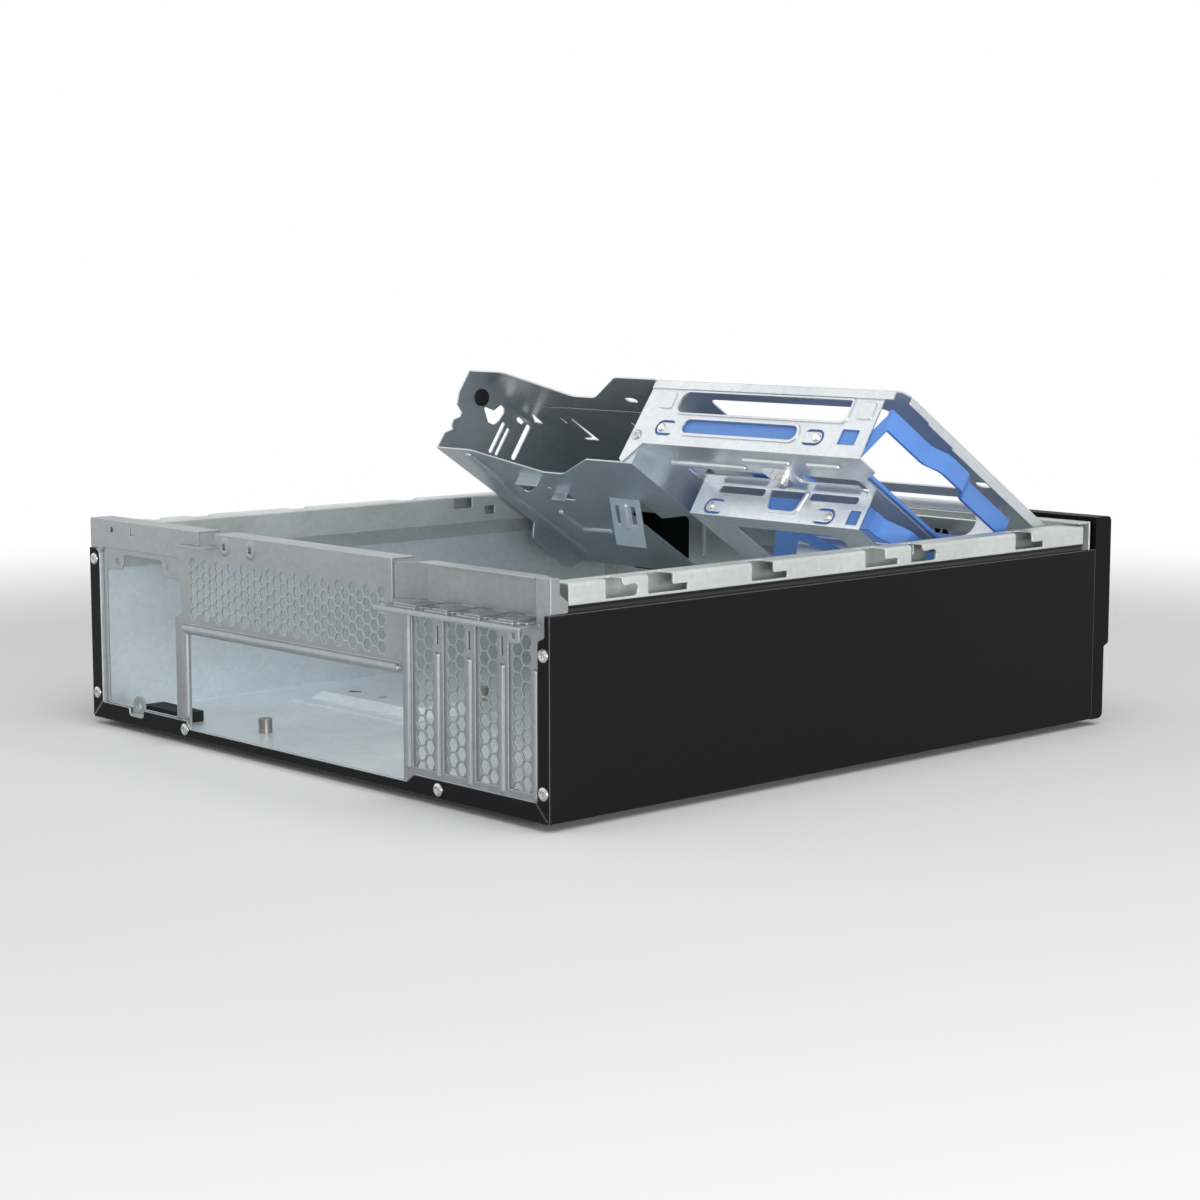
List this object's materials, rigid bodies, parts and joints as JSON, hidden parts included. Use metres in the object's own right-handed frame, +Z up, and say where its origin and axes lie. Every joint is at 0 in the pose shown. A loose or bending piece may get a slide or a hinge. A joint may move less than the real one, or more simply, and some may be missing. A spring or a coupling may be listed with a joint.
{
  "type": "slim desktop computer case",
  "caption": "Low flat computer case with its lid off: folded steel shell, vented rear wall, plastic front and a hinged drive cage that swings up.",
  "frame": {"origin": "bottom centre of the part's box, on the plane of the feet", "axes": "+X to the right seen from behind, +Y to the front bezel, +Z up; rear panel faces -Y"},
  "size_m": [0.335, 0.371, 0.1653],
  "materials": {
    "black_coating": "satin",
    "galvanised_steel": "satin",
    "bright_steel": "polished",
    "black_plastic": "matte",
    "blue_plastic": "semi-gloss",
    "black_rubber": "matte",
    "circuit_board": "satin"
  },
  "bodies": {
    "chassis": {"outer_shell": "black_coating", "rear_panel": "galvanised_steel", "side_rail_left": "galvanised_steel", "side_rail_right": "galvanised_steel", "front_panel": "galvanised_steel", "front_bezel": "black_plastic", "bay_blank": "black_plastic", "power_switch": "black_plastic", "port_board": "circuit_board", "data_ports": "bright_steel", "slot_cover_1": "galvanised_steel", "slot_cover_2": "galvanised_steel", "slot_cover_3": "galvanised_steel", "slot_cover_4": "galvanised_steel", "slot_clamp": "galvanised_steel", "board_standoffs": "bright_steel", "floor_plate": "galvanised_steel", "support_pad": "black_rubber", "rear_rivets": "bright_steel", "rubber_feet": "black_rubber", "hinge_pin_left": "bright_steel", "hinge_pin_right": "bright_steel"},
    "drive_cage": {"cage_top": "galvanised_steel", "optical_tray": "galvanised_steel", "disk_bay": "galvanised_steel", "small_bay": "galvanised_steel", "disk_carrier": "blue_plastic", "small_carrier": "blue_plastic", "disk_studs": "bright_steel", "small_studs": "bright_steel", "bay_screw": "bright_steel", "cage_rivet": "bright_steel", "rubber_grommet": "black_rubber"},
    "power_button": {"power_button": "black_plastic"}
  },
  "joints": [
    {"name": "cage_hinge", "type": "hinge", "parent": "chassis", "child": "drive_cage", "pos_m": [0, 0.1555, 0.088], "axis": [1, 0, 0], "range_deg": [0, 33.1]},
    {"name": "power_push", "type": "slide", "parent": "chassis", "child": "power_button", "axis": [0, -1, 0], "range_m": [0, 0.0015], "stiffness_N_per_m": 400}
  ]
}
